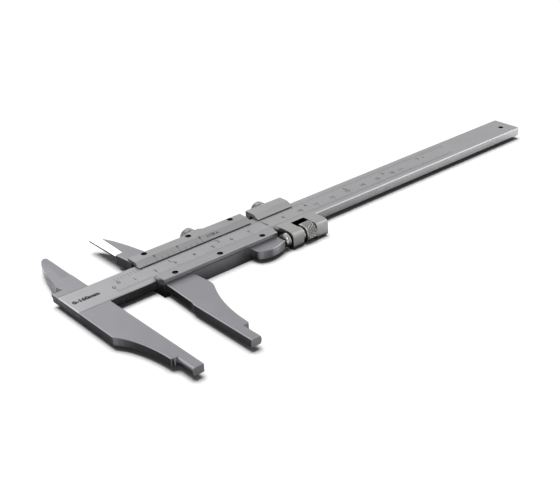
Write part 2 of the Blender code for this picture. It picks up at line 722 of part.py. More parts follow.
def build_lock_nut(parent, steel):
    start = SLIDER_X1 + LOCK_NUT_GAP
    end = start + LOCK_NUT_LENGTH
    profile = [
        (start, LOCK_NUT_RADIUS - LOCK_NUT_EDGE),
        (start + LOCK_NUT_EDGE, LOCK_NUT_RADIUS),
        (end - LOCK_NUT_EDGE, LOCK_NUT_RADIUS),
        (end, LOCK_NUT_RADIUS - LOCK_NUT_EDGE),
    ]
    place = (0, FEED_Y, FEED_Z)
    nut = make_object("lock_nut", turned(profile, X_AXIS), parent, place)
    bore = rod(FEED_HOLE_RADIUS, start - CUT_OVERRUN, end + CUT_OVERRUN, X_AXIS)
    cut(nut, make_object("lock nut bore", bore, parent, place))
    nut.data.materials.append(steel)


def build_adjusting_nut(parent, steel):
    """The knurled nut; its origin lies on the screw's axis at the nut's middle."""
    width = WINDOW_X1 - WINDOW_X0 - 2 * FIT_GAP
    half = width / 2
    collar_end = -half + NUT_COLLAR_LENGTH
    groove_end = collar_end + NUT_GROOVE_LENGTH
    profile = [
        (-half, NUT_COLLAR_RADIUS - NUT_EDGE),
        (-half + NUT_EDGE, NUT_COLLAR_RADIUS),
        (collar_end, NUT_COLLAR_RADIUS),
        (collar_end, NUT_GROOVE_RADIUS),
        (groove_end, NUT_GROOVE_RADIUS),
        (groove_end, NUT_RADIUS - NUT_EDGE),
        (groove_end + NUT_EDGE, NUT_RADIUS),
        (half - NUT_EDGE, NUT_RADIUS),
        (half, NUT_RADIUS - NUT_EDGE),
    ]
    nut = make_object("adjusting_nut", turned(profile, X_AXIS, 40), parent)
    bore = rod(FEED_HOLE_RADIUS, -half - CUT_OVERRUN, half + CUT_OVERRUN, X_AXIS)
    cut(nut, make_object("adjusting nut bore", bore, parent))
    nut.data.materials.append(steel)


def build_caliper():
    jaw_face_middle_y = -(BEAM_WIDTH / 2 + JAW_REACH) / 2
    datum = make_empty("datum", None, (0, -jaw_face_middle_y, -JAW_MID_Z))
    slider = make_empty("slider frame", datum, (REST_OPENING, 0, 0))
    carriage = make_empty("carriage frame", slider, (SLIDER_X1 + CARRIAGE_GAP, 0, 0))
    nut_middle = (WINDOW_X0 + WINDOW_X1) / 2
    nut = make_empty("nut axis", carriage, (nut_middle, FEED_Y, FEED_Z))

    build_beam(datum, make_material("satin beam", (0.55, 0.55, 0.56), 0.38))
    build_fixed_jaw(datum, make_material("ground jaw", (0.47, 0.47, 0.50), 0.36))

    build_slider_body(slider, make_material("ground slider", (0.50, 0.50, 0.53), 0.36))
    for side_name, section in (("upper", upper_plate_section()), ("lower", lower_plate_section())):
        satin = make_material(f"satin {side_name} plate", (0.56, 0.56, 0.57), 0.40)
        build_vernier_plate(side_name, section, slider, satin)
    for name, _, x, y in plate_screw_places():
        black = make_material(f"blackened {name}", (0.03, 0.03, 0.03), 0.5)
        build_plate_screw(name, x, y, slider, black)
    bronze = make_material("bronze slider gib", (0.62, 0.42, 0.20), 0.4)
    build_gib("slider_gib", SLIDER_LENGTH - 1.2 * MM, SLIDER_X0 + 0.6 * MM, slider, bronze)
    for index, x in enumerate(GIB_SCREW_XS, start=1):
        dark_steel = make_material(f"gib screw steel {index}", (0.30, 0.30, 0.31), 0.4)
        build_gib_screw(index, x, slider, dark_steel)
    clamp_steel = make_material("slider clamp chrome", (0.72, 0.72, 0.73), 0.25)
    build_clamp_screw("slider_clamp_screw", SLIDER_CLAMP_X, BOSS_Y, slider, clamp_steel)
    build_adjusting_screw(slider, make_material("adjusting screw steel", (0.45, 0.45, 0.46), 0.3))
    build_lock_nut(slider, make_material("lock nut steel", (0.70, 0.70, 0.68), 0.25))

    build_carriage(carriage, make_material("satin carriage", (0.52, 0.53, 0.51), 0.40))
    carriage_bronze = make_material("bronze carriage gib", (0.62, 0.42, 0.20), 0.4)
    build_gib("carriage_gib", CARRIAGE_LENGTH - 1.2 * MM, 0.6 * MM, carriage, carriage_bronze)
    carriage_chrome = make_material("carriage clamp chrome", (0.72, 0.72, 0.73), 0.25)
    build_clamp_screw("carriage_clamp_screw", CARRIAGE_CLAMP_X, HALF_WIDTH, carriage, carriage_chrome)
    build_adjusting_nut(nut, make_material("knurled nut steel", (0.60, 0.60, 0.59), 0.3))


remove_everything()
build_caliper()
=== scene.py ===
"""Looks for the vernier caliper: steel finishes, scale marks, knurls and threads on the CAD frame.

Everything is in metres in the row frame, unless a name or comment says mm. Object-space coordinates
drive the materials, so the grain of each piece keeps its real size and stays put when it moves.
"""

import math

import bmesh
import bpy
from mathutils import Matrix, Vector


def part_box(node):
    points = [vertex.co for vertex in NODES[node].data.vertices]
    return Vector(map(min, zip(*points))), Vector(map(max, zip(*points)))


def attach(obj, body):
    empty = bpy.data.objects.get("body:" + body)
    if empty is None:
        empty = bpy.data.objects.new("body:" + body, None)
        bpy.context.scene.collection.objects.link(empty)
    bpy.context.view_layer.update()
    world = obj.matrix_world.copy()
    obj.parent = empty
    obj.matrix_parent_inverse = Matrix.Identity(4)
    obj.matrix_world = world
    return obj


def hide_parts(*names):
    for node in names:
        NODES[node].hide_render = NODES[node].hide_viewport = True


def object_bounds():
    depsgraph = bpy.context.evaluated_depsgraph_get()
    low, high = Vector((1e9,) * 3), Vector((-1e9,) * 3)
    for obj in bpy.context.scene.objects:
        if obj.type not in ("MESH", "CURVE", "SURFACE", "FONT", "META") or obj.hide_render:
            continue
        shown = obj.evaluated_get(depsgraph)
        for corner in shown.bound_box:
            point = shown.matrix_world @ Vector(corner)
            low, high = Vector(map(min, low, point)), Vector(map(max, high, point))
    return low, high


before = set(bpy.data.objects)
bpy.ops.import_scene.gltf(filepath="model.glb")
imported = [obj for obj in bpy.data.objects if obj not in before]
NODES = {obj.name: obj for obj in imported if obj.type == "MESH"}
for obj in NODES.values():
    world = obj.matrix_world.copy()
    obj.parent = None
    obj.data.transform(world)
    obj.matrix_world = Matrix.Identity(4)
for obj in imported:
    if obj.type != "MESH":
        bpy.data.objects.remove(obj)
CAD_BOX = [list(corner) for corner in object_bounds()]

MM = 0.001
INCH = 25.4 * MM

# ---- places taken from the frame ------------------------------------------------

BEAM_LOW, BEAM_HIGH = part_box("beam")
BEAM_MID_Y = (BEAM_LOW.y + BEAM_HIGH.y) / 2
BEAM_FACE_Z = BEAM_HIGH.z
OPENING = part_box("slider_body")[0].x
UPPER_LOW, UPPER_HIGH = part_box("upper_vernier_plate")
LOWER_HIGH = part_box("lower_vernier_plate")[1]
PLATE_TOP_Z = UPPER_HIGH.z
NUT_LOW, NUT_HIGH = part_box("adjusting_nut")
CARRIAGE_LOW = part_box("carriage_body")[0]
FLOOR_Z = CAD_BOX[0][2]

# ---- scale layout ---------------------------------------------------------------

METRIC_ZERO_X = 6.46 * MM
INCH_ZERO_X = 10.1 * MM
MILLIMETRES = 200
SIXTEENTHS = 125
LAST_CENTIMETRE = 16
LAST_INCH = 7
MARK_RISE = 0.015 * MM
TICK_WIDTH = 0.17 * MM
INCH_TICK_ROOT = 5.4 * MM
METRIC_TICK_ROOT = -5.6 * MM
INCH_NUMBER_Y = 1.2 * MM
METRIC_NUMBER_Y = -1.15 * MM
NUMBER_SIZE = 3.0 * MM
NUMBER_WEIGHT = 0.05 * MM
UNIT_SIZE = 2.2 * MM
METRIC_UNIT_X = METRIC_ZERO_X + 166 * MM
INCH_UNIT_X = METRIC_ZERO_X + 184.8 * MM
LABEL_SIZE = 3.1 * MM
LABEL_WEIGHT = 0.22 * MM
LABEL_X = BEAM_LOW.x + 8.0 * MM
LABEL_Y = BEAM_MID_Y - 0.4 * MM

# Tick lengths: the first count that divides a tick's number gives its length.
INCH_TICKS = ((16, 3.0 * MM), (4, 2.6 * MM), (2, 2.3 * MM), (1, 1.9 * MM))
METRIC_TICKS = ((10, 2.6 * MM), (5, 2.1 * MM), (1, 1.5 * MM))
INCH_VERNIER_TICKS = ((4, 1.9 * MM), (1, 1.4 * MM))
METRIC_VERNIER_TICKS = ((2, 1.3 * MM), (1, 0.9 * MM))

BEVEL_DROP = 1.6 * MM
UPPER_BEVEL_RUN = 3.3 * MM
LOWER_BEVEL_RUN = 2.5 * MM
LIP_MARGIN = 0.08 * MM
INCH_VERNIER_DIVISIONS = 8
INCH_VERNIER_PITCH = INCH * 15 / 128
INCH_VERNIER_NUMBER = {"size": 1.9 * MM, "y": 2.85 * MM, "weight": 0.04 * MM}
INCH_VERNIER_UNIT = {"size": 2.0 * MM, "x": 30.2 * MM, "y": 2.05 * MM, "weight": 0.04 * MM}
METRIC_VERNIER_DIVISIONS = 20
METRIC_VERNIER_PITCH = 1.95 * MM
METRIC_VERNIER_NUMBER = {"size": 1.3 * MM, "y": -2.1 * MM, "weight": 0.0}
METRIC_VERNIER_UNIT = {"size": 1.3 * MM, "x": 46.0 * MM, "y": -1.6 * MM, "weight": 0.0}

# ---- turned and threaded pieces -------------------------------------------------

BORE_RADIUS = 1.36 * MM
EDGE_BEVEL = 0.3 * MM
EDGE_SOFTENING = 0.1 * MM
NUT_TEETH = 20
NUT_KNURL_DEPTH = 0.42 * MM
NUT_DIAMOND_LENGTH = 2.0 * MM
NUT_EXTRA_LENGTH = 0.2 * MM
NUT_COLLAR_LENGTH = 1.0 * MM
NUT_BODY_START = 1.45 * MM
NUT_BAND_LENGTH = 0.75 * MM
NUT_BAND_GROOVE = 0.2 * MM
NUT_PLAIN_END = 0.3 * MM
NUT_COLLAR_INSET = 0.85 * MM
NUT_NECK_INSET = 1.35 * MM
HEAD_TEETH = 46
HEAD_KNURL_DEPTH = 0.2 * MM
HEAD_LENGTH = 3.8 * MM
HEAD_KNURL_MARGIN = 0.5 * MM
HEAD_ROOT_MARGIN = 0.35 * MM
NECK_LENGTH = 0.7 * MM
NECK_RADIUS = 2.4 * MM
SHANK_RADIUS = 1.5 * MM
SHANK_TIP_SHARE = 0.7
SHANK_TIP_LENGTH = 0.5 * MM
DISH_RADIUS = 2.2 * MM
DISH_FLOOR_RADIUS = 2.0 * MM
DISH_DEPTH = 0.15 * MM
THREAD_PITCH = 0.5 * MM
THREAD_DEPTH = 0.2 * MM
THREAD_TAPER = 0.3 * MM
THREAD_RINGS_PER_TURN = 4
THREAD_SEGMENTS = 24
COLLAR_RIM = 0.22 * MM
COLLAR_SEGMENTS = 64

# ---- finishes -------------------------------------------------------------------

# Grinding directions: how often the streaks change along x, y and z, per mm.
ALONG_X = (0.12, 5.0, 5.0)
ALONG_Y = (5.0, 0.25, 5.0)
ALONG_Z = (3.0, 3.0, 0.25)
FINE = (3.0, 3.0, 3.0)

# Noises as (scale per mm, detail, roughness).
STREAK_NOISE = (1.0, 4.0, 0.62)
CLOUD_NOISE = (0.07, 3.0, 0.55)
GRAIN_NOISE = (9.0, 2.0, 0.6)
STAIN_NOISE = (0.175, 5.0, 0.7)
MARK_WEAR_NOISE = (2.5, 3.0, 0.6)

LEVEL_FACE_SPAN = (0.3, 0.6)
STREAK_SHARE = 0.6
CLOUD_SHARE = 0.4
CLOUD_SPAN = (0.35, 0.65)
TINT_SPREAD = 0.07
STAIN_RAMP = (0.62, 0.78, 0.0, 0.25)
STAIN_GAIN = 0.7
# The rounded edges are brightened, partly as wear and partly as a painted highlight.
WEAR_AND_HIGHLIGHT_SPAN = (0.995, 0.90)
WEAR_AND_HIGHLIGHT_SHARE = 0.8
WORN_SMOOTHING = 0.08
STREAK_SPAN = (0.3, 0.7)
STREAK_ROUGHNESS = 0.05
CLOUD_ROUGHNESS = 0.03
# Painted shade in crevices: how far the occlusion looks, and the occlusion at which it is darkest.
CREVICE_SHADE_REACH = 5.0 * MM
CREVICE_SHADE_SHUT = 0.12
GRAIN_BUMP = 0.15
BUMP_DEPTH = 0.01 * MM
# The knife's bevel: ground smoother, and painted near white as a highlight.
POLISHED_SPAN = (0.990, 0.995)
POLISHED_HIGHLIGHT_COLOUR = (0.93, 0.93, 0.94)
POLISHED_ROUGHNESS = 0.16
KNIFE_BEVEL_NORMAL = (-0.235, 0.009, 0.972)
# Black for painted shade.
PAINTED_SHADE_BLACK = (0.006, 0.006, 0.007)
GROOVE_DARK = (0.05, 0.05, 0.05)
MARK_METALLIC = 0.3
MARK_ROUGHNESS = 0.6
MARK_WEAR_SPAN = (0.35, 0.75)
MARK_WEAR_GAIN = 2.2
MARK_WEAR_LIFT = 0.02

# Places darkened in the finishes: the counterbores, the hanging hole and the walls round the nut
# are painted black as shade, and the knurl grooves go darker towards their floors. The margins
# are in mm.
COUNTERBORE_RADIUS = 1.3 * MM
COUNTERBORE_MARGIN = 0.06
HANG_HOLE = (250.4 * MM, BEAM_MID_Y - 1.0 * MM)
HANG_HOLE_RADIUS = 1.3 * MM
HANG_HOLE_MARGIN = 0.05
GROOVE_FLOOR_MARGIN = 0.08
GROOVE_CLEAN_SHARE = 0.3
WINDOW_SIDE_GAP = 0.4 * MM
WINDOW_RIGHT_TRIM = 0.1
WINDOW_BACK_GAP = 1.3 * MM

# ---- camera, light and floor ----------------------------------------------------

CAMERA_PLACE = (-0.17105, -0.28329, 0.20444)
CAMERA_TURN = (1.0860, 0.0415, -0.7110)
CAMERA_LENS = 66.206
SENSOR_WIDTH = 36.0
CLIP_START = 0.01
CLIP_END = 10.0

KEY_FROM = (-0.02, 0.12, 1.0)
KEY_STRENGTH = 3.4
KEY_SPREAD = 46.0
FILL_STRENGTH = 0.13
BACKDROP_STRENGTH = 1.05

FLOOR_HALF_SIZE = 4.0
FLOOR_DROP = 0.02 * MM
FLOOR_COLOUR = (0.92, 0.92, 0.92, 1)
# Painted shade on the floor as the metal mirrors it: darker near the object, by occlusion, and round
# a spot between the jaws.
FLOOR_SHADE_REACH = 45.0 * MM
FLOOR_SHADE_RAMP = (0.71, 0.93, 0.05, 1.0)
JAW_CORNER = (13.0 * MM, 24.0 * MM, FLOOR_Z)
JAW_CORNER_SHADE_RAMP = (8 * MM, 26 * MM, 0.2, 1.0)

# What the metal mirrors. Spans are limits of one component of the direction it looks in: the floor
# is brighter to the right and to the front, has a dark card across it, and is bright far right.
SKY_STRENGTH = 0.64
HORIZON_SPAN = (-0.2, 0.15)
GROUND_STRENGTH = 0.13
OPEN_GROUND_STRENGTH = 0.24
OPEN_RIGHT_SPAN = (-0.35, 0.10)
OPEN_FRONT_SPAN = (0.3, -0.3)
CARD_X = 0.38
CARD_RAMP = (0.04, 0.13, 0.35, 1.0)
FAR_RIGHT_RAMP = (0.57, 0.66, 0.0, 1.05)

# Soft boxes that the metal mirrors: direction, full within, gone beyond (degrees), strength.
SOFT_BOXES = [
    ((0.19, 0.77, 0.60), 5.0, 10.0, 1.8),
    ((-0.50, 0.77, 0.38), 12.0, 28.0, 0.9),
    ((0.72, -0.37, 0.58), 8.0, 18.0, 2.0),
    ((0.0, 0.91, -0.40), 10.0, 22.0, 1.4),
    ((-0.66, -0.53, -0.47), 15.0, 35.0, 0.40),
    ((0.47, 0.81, 0.33), 4.0, 10.0, 0.20),
    ((0.50, 0.73, 0.46), 5.0, 20.0, 0.025),
    ((0.50, -0.50, 0.70), 14.0, 28.0, -0.40),
]


# ---- materials ------------------------------------------------------------------


class Graph:
    """A small helper that adds and links shader nodes."""

    def __init__(self, tree):
        self.tree = tree

    def node(self, kind, **settings):
        """A new node; each setting names one of its properties or one of its inputs."""
        made = self.tree.nodes.new(kind)
        for key, value in settings.items():
            if hasattr(made, key):
                setattr(made, key, value)
            else:
                made.inputs[key].default_value = value
        return made

    def link(self, out_socket, in_socket):
        self.tree.links.new(out_socket, in_socket)

    def feed(self, socket, item):
        """Links a socket to another node's output, or sets it to a fixed value."""
        if isinstance(item, bpy.types.NodeSocket):
            self.link(item, socket)
        else:
            socket.default_value = item

    def math(self, operation, a, b=None):
        made = self.node("ShaderNodeMath", operation=operation)
        self.feed(made.inputs[0], a)
        if b is not None:
            self.feed(made.inputs[1], b)
        return made.outputs[0]

    def vector_math(self, operation, a, b):
        made = self.node("ShaderNodeVectorMath", operation=operation)
        self.feed(made.inputs[0], a)
        self.feed(made.inputs[1], b)
        return made.outputs["Vector" if operation == "MULTIPLY" else "Value"]

    def axes(self, vector):
        """The outputs X, Y and Z of a vector."""
        made = self.node("ShaderNodeSeparateXYZ")
        self.link(vector, made.inputs[0])
        return made.outputs

    def blend_values(self, factor, a, b):
        """a where the factor is 0, b where it is 1."""
        low = self.math("MULTIPLY", a, self.math("SUBTRACT", 1.0, factor))
        return self.math("ADD", low, self.math("MULTIPLY", b, factor))

    def between(self, source, low, high):
        above = self.math("GREATER_THAN", source, low)
        return self.math("MULTIPLY", above, self.math("LESS_THAN", source, high))

    def from_axis(self, place, across, centre):
        """How far a place is from the axis through a centre; across is 0 along that axis, else 1."""
        flat = self.vector_math("MULTIPLY", place, across)
        return self.vector_math("DISTANCE", flat, centre)

    def mix_colour(self, factor, a, b):
        """a where the factor is 0, b where it is 1."""
        made = self.node("ShaderNodeMix", data_type="RGBA")
        for socket, item in zip((made.inputs[0], made.inputs[6], made.inputs[7]), (factor, a, b)):
            self.feed(socket, (*item, 1.0) if isinstance(item, tuple) else item)
        return made.outputs[2]

    def ramp(self, source, low, high, out_low=0.0, out_high=1.0):
        """A straight rise or fall from out_low at low to out_high at high, level beyond them."""
        limits = {"From Min": low, "From Max": high, "To Min": out_low, "To Max": out_high}
        made = self.node("ShaderNodeMapRange", clamp=True, **limits)
        self.link(source, made.inputs["Value"])
        return made.outputs[0]

    def noise(self, coordinates, settings):
        scale, detail, roughness = settings
        made = self.node("ShaderNodeTexNoise", Scale=scale, Detail=detail, Roughness=roughness)
        self.link(coordinates, made.inputs["Vector"])
        return made.outputs["Fac"]

    def stretched(self, coordinates, scale):
        made = self.node("ShaderNodeMapping", Scale=scale)
        self.link(coordinates, made.inputs["Vector"])
        return made.outputs[0]

    def place_in_mm(self):
        place = self.node("ShaderNodeTexCoord").outputs["Object"]
        return self.stretched(place, (1 / MM, 1 / MM, 1 / MM))


def new_material(name):
    """A node material, its graph, and its main shader."""
    material = bpy.data.materials.new(name)
    material.use_nodes = True
    return material, Graph(material.node_tree), material.node_tree.nodes["Principled BSDF"]


def scaled(colour, gain):
    return tuple(min(1.0, channel * gain) for channel in colour)


def steel(
    name,
    colour,
    roughness,
    brush=ALONG_X,
    side_brush=ALONG_X,
    brush_bump=0.25,
    edge=0.10,
    edge_highlight_gain=0.5,
    crevice=0.04,
    crevice_open=0.50,
    shade_holes=(),
    shade_box=None,
    highlit_bevel_normal=None,
    grooves=None,
):
    """Satin or ground steel: directional grain, cloudy tint, painted shade in crevices, and bright
    edges that are partly wear and partly a painted highlight.

    brush and side_brush are the grinding of level and of upright faces, edge is the width in mm of
    the bright edges, and crevice the light left in a shut corner by the painted shade. holes and
    shade_box are places painted black as shade, and grooves the knurl grooves, which go darker
    towards their floors. polished is the normal of a face that is ground bright and painted near
    white as a highlight.
    """
    material, graph, shader = new_material(name)
    shader.inputs["Metallic"].default_value = 1.0
    in_mm = graph.place_in_mm()
    normal = graph.node("ShaderNodeNewGeometry").outputs["Normal"]
    level_face = graph.ramp(graph.math("ABSOLUTE", graph.axes(normal)["Z"]), *LEVEL_FACE_SPAN)

    face_streak = graph.noise(graph.stretched(in_mm, brush), STREAK_NOISE)
    side_streak = graph.noise(graph.stretched(in_mm, side_brush), STREAK_NOISE)
    streak = graph.blend_values(level_face, side_streak, face_streak)
    cloud = graph.noise(in_mm, CLOUD_NOISE)
    grain = graph.noise(in_mm, GRAIN_NOISE)
    stain = graph.noise(in_mm, STAIN_NOISE)

    rounded = graph.node("ShaderNodeBevel", samples=4, Radius=edge * MM).outputs["Normal"]
    wear_and_highlight = graph.ramp(graph.vector_math("DOT_PRODUCT", rounded, normal), *WEAR_AND_HIGHLIGHT_SPAN)

    streak_part = graph.math("MULTIPLY", streak, STREAK_SHARE)
    shade = graph.math("ADD", streak_part, graph.math("MULTIPLY", cloud, CLOUD_SHARE))
    dark, light = scaled(colour, 1 - TINT_SPREAD), scaled(colour, 1 + TINT_SPREAD)
    base = graph.mix_colour(graph.ramp(shade, *CLOUD_SPAN), dark, light)
    base = graph.mix_colour(graph.ramp(stain, *STAIN_RAMP), base, scaled(colour, STAIN_GAIN))
    # Bright edges: partly wear, partly a painted highlight on the rounded edges.
    wear_and_highlight_share = graph.math("MULTIPLY", wear_and_highlight, WEAR_AND_HIGHLIGHT_SHARE)
    base = graph.mix_colour(wear_and_highlight_share, base, scaled(colour, 1 + edge_highlight_gain))
    # Painted shade: the colour goes towards black where the occlusion finds a crevice or a shut
    # corner.
    crevice_shade_ao = graph.node("ShaderNodeAmbientOcclusion", samples=6, Distance=CREVICE_SHADE_REACH)
    crevice_unshaded = graph.ramp(crevice_shade_ao.outputs["AO"], CREVICE_SHADE_SHUT, crevice_open, crevice, 1.0)
    base = graph.mix_colour(crevice_unshaded, (0.0, 0.0, 0.0), base)
    # Painted shade: the counterbores and the hanging hole are painted black.
    for centre, radius in shade_holes:
        out_from_middle = graph.from_axis(in_mm, (1.0, 1.0, 0.0), (*centre, 0.0))
        base = graph.mix_colour(graph.math("LESS_THAN", out_from_middle, radius), base, PAINTED_SHADE_BLACK)
    # Painted shade: the upright walls inside the box are painted black.
    if shade_box:
        spot = graph.axes(in_mm)
        walls = graph.math("SUBTRACT", 1.0, level_face)
        for axis, (low, high) in zip(("X", "Y"), shade_box):
            walls = graph.math("MULTIPLY", walls, graph.between(spot[axis], low, high))
        base = graph.mix_colour(walls, base, PAINTED_SHADE_BLACK)
    # The knurl grooves go darker towards their floors; surfaces nearer the axis keep their colour.
    if grooves:
        across, centre, floor_radius, crest_radius = grooves
        out_from_axis = graph.from_axis(in_mm, across, centre)
        crest = graph.ramp(out_from_axis, floor_radius, crest_radius)
        inner = graph.math("LESS_THAN", out_from_axis, floor_radius - GROOVE_FLOOR_MARGIN)
        base = graph.mix_colour(graph.math("MAXIMUM", crest, inner), GROOVE_DARK, base)

    rough_low, rough_high = roughness - STREAK_ROUGHNESS, roughness + STREAK_ROUGHNESS
    rough = graph.math(
        "ADD",
        graph.ramp(streak, *STREAK_SPAN, rough_low, rough_high),
        graph.ramp(cloud, *CLOUD_SPAN, -CLOUD_ROUGHNESS, CLOUD_ROUGHNESS),
    )
    rough = graph.math("SUBTRACT", rough, graph.math("MULTIPLY", wear_and_highlight, WORN_SMOOTHING))
    # The knife's bevel: ground smoother, and its colour raised near white as a painted highlight.
    if highlit_bevel_normal:
        lean = graph.vector_math("DOT_PRODUCT", normal, Vector(highlit_bevel_normal).normalized())
        bevel_highlight = graph.ramp(lean, *POLISHED_SPAN)
        base = graph.mix_colour(bevel_highlight, base, POLISHED_HIGHLIGHT_COLOUR)
        rough = graph.blend_values(bevel_highlight, rough, POLISHED_ROUGHNESS)
    graph.link(base, shader.inputs["Base Color"])
    graph.link(rough, shader.inputs["Roughness"])

    surface = rounded
    for height, strength in ((streak, brush_bump), (grain, GRAIN_BUMP)):
        bump = graph.node("ShaderNodeBump", Strength=strength, Distance=BUMP_DEPTH)
        graph.link(height, bump.inputs["Height"])
        graph.link(surface, bump.inputs["Normal"])
        surface = bump.outputs["Normal"]
    graph.link(surface, shader.inputs["Normal"])
    return material


def filled_mark(name, colour):
    """The dark filler in engraved lines and numbers, slightly broken up."""
    material, graph, shader = new_material(name)
    shader.inputs["Metallic"].default_value = MARK_METALLIC
    shader.inputs["Roughness"].default_value = MARK_ROUGHNESS
    wear_and_highlight = graph.ramp(graph.noise(graph.place_in_mm(), MARK_WEAR_NOISE), *MARK_WEAR_SPAN)
    pale = tuple(channel * MARK_WEAR_GAIN + MARK_WEAR_LIFT for channel in colour)
    graph.link(graph.mix_colour(wear_and_highlight, colour, pale), shader.inputs["Base Color"])
    return material


def dress(node, material):
    mesh_object = NODES[node]
    if not mesh_object.material_slots:
        mesh_object.data.materials.append(material)
    for slot_entry in mesh_object.material_slots:
        slot_entry.material = material


def screw_wells(prefix):
    """The counterbores of one vernier plate, painted black as shade, as (centre, radius) in mm."""
    wells = []
    for name in sorted(NODES):
        if name.startswith(prefix):
            low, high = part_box(name)
            middle = ((low.x + high.x) / 2 / MM, (low.y + high.y) / 2 / MM)
            wells.append((middle, COUNTERBORE_RADIUS / MM + COUNTERBORE_MARGIN))
    return wells


def knurl_grooves(node, axis, depth):
    """A knurl's place for a finish, in mm: across its axis, its middle, groove and crest radii."""
    low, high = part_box(node)
    across = Vector((0.0, 1.0, 1.0)) if axis == "X" else Vector((1.0, 0.0, 1.0))
    middle = (low + high) / 2 * across / MM
    crest = (high.z - low.z) / 2 / MM
    return across, middle, crest - depth / MM, crest - GROOVE_CLEAN_SHARE * depth / MM


# The hanging hole, painted black as shade, as (centre, radius) in mm.
HANG_HOLE_SHADE_SPOT = (
    (HANG_HOLE[0] / MM, HANG_HOLE[1] / MM),
    HANG_HOLE_RADIUS / MM + HANG_HOLE_MARGIN,
)
# The upright walls round the nut, painted black as shade, as limits of x and y in mm; the right
# wall stays outside them.
NUT_WINDOW_SHADE = (
    (
        (NUT_LOW.x - WINDOW_SIDE_GAP) / MM,
        (NUT_HIGH.x + WINDOW_SIDE_GAP) / MM - WINDOW_RIGHT_TRIM,
    ),
    (CARRIAGE_LOW.y / MM, (NUT_HIGH.y + WINDOW_BACK_GAP) / MM),
)

SATIN_BEAM = steel(
    "satin_beam", (0.545, 0.545, 0.557), 0.34, crevice_open=0.42, shade_holes=[HANG_HOLE_SHADE_SPOT]
)
GROUND_JAW = steel("ground_jaw", (0.41, 0.41, 0.435), 0.36, brush=ALONG_Y, side_brush=ALONG_Z)
GROUND_SLIDER = steel(
    "ground_slider",
    (0.42, 0.42, 0.445),
    0.36,
    brush=ALONG_Y,
    side_brush=ALONG_Z,
    crevice_open=0.6,
    highlit_bevel_normal=KNIFE_BEVEL_NORMAL,
)
UPPER_PLATE = steel(
    "satin_upper_plate",
    (0.495, 0.495, 0.505),
    0.36,
    crevice_open=0.36,
    shade_holes=screw_wells("upper_plate_screw"),
)
LOWER_PLATE = steel(
    "satin_lower_plate", (0.50, 0.50, 0.51), 0.36, shade_holes=screw_wells("lower_plate_screw")
)
SATIN_CARRIAGE = steel(
    "satin_carriage",
    (0.55, 0.556, 0.547),
    0.38,
    side_brush=ALONG_Z,
    crevice_open=0.6,
    shade_box=NUT_WINDOW_SHADE,
)
BRIGHT = steel(
    "bright_steel", (0.58, 0.58, 0.57), 0.24, brush=FINE, side_brush=FINE, brush_bump=0.1, edge=0.06
)
KNURLED = steel(
    "knurled_steel",
    (0.50, 0.50, 0.49),
    0.26,
    brush=FINE,
    side_brush=FINE,
    edge=0.03,
    crevice=0.1,
    grooves=knurl_grooves("adjusting_nut", "X", NUT_KNURL_DEPTH),
)
CLAMP_STEEL = {
    name: steel(
        f"{name}_steel",
        (0.50, 0.51, 0.495),
        0.3,
        brush=FINE,
        side_brush=FINE,
        edge=0.03,
        crevice=0.1,
        grooves=knurl_grooves(name, "Y", HEAD_KNURL_DEPTH),
    )
    for name in ("slider_clamp_screw", "carriage_clamp_screw")
}
SCREW_STEEL = steel(
    "screw_steel", (0.45, 0.45, 0.46), 0.3, brush=FINE, side_brush=FINE, edge=0.03
)
BLACKENED = steel("blackened_steel", (0.012, 0.012, 0.013), 0.5, edge=0.05, edge_highlight_gain=1.0)
BRONZE = steel("spring_bronze", (0.20, 0.15, 0.09), 0.4, edge=0.05, crevice_open=0.7)
INK = filled_mark("scale_ink", (0.06, 0.06, 0.065))
BLACK_INK = filled_mark("label_ink", (0.012, 0.012, 0.013))

NODE_FINISH = {
    "beam": SATIN_BEAM,
    "fixed_jaw": GROUND_JAW,
    "slider_body": GROUND_SLIDER,
    "upper_vernier_plate": UPPER_PLATE,
    "lower_vernier_plate": LOWER_PLATE,
    "slider_gib": BRONZE,
    "carriage_gib": BRONZE,
    "carriage_body": SATIN_CARRIAGE,
}
for node_name in NODES:
    dress(node_name, NODE_FINISH.get(node_name, BLACKENED))


# ---- mesh helpers ---------------------------------------------------------------


def new_object(name, data):
    """A new object in the scene that shows some data."""
    made = bpy.data.objects.new(name, data)
    bpy.context.scene.collection.objects.link(made)
    return made


def finish_piece(name, bm, material, body, smooth=None, second=None):
    """Turns a bmesh into a piece that rides on a body; smooth is in degrees."""
    bmesh.ops.recalc_face_normals(bm, faces=bm.faces)
    mesh = bpy.data.meshes.new(name)
    bm.to_mesh(mesh)
    bm.free()
    if smooth is not None:
        mesh.shade_smooth()
        mesh.set_sharp_from_angle(angle=math.radians(smooth))
    piece = new_object(name, mesh)
    mesh.materials.append(material)
    if second:
        mesh.materials.append(second)
    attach(piece, body)
    return piece


def add_block(bm, matrix, size):
    """A small box with its middle at the matrix's origin."""
    sx, sy, sz = (side / 2 for side in size)
    corners = [(-sx, -sy), (sx, -sy), (sx, sy), (-sx, sy)]
    low = [bm.verts.new(matrix @ Vector((x, y, -sz))) for x, y in corners]
    high = [bm.verts.new(matrix @ Vector((x, y, sz))) for x, y in corners]
    bm.faces.new(list(reversed(low)))
    bm.faces.new(high)
    for i in range(4):
        j = (i + 1) % 4
        bm.faces.new((low[i], low[j], high[j], high[i]))


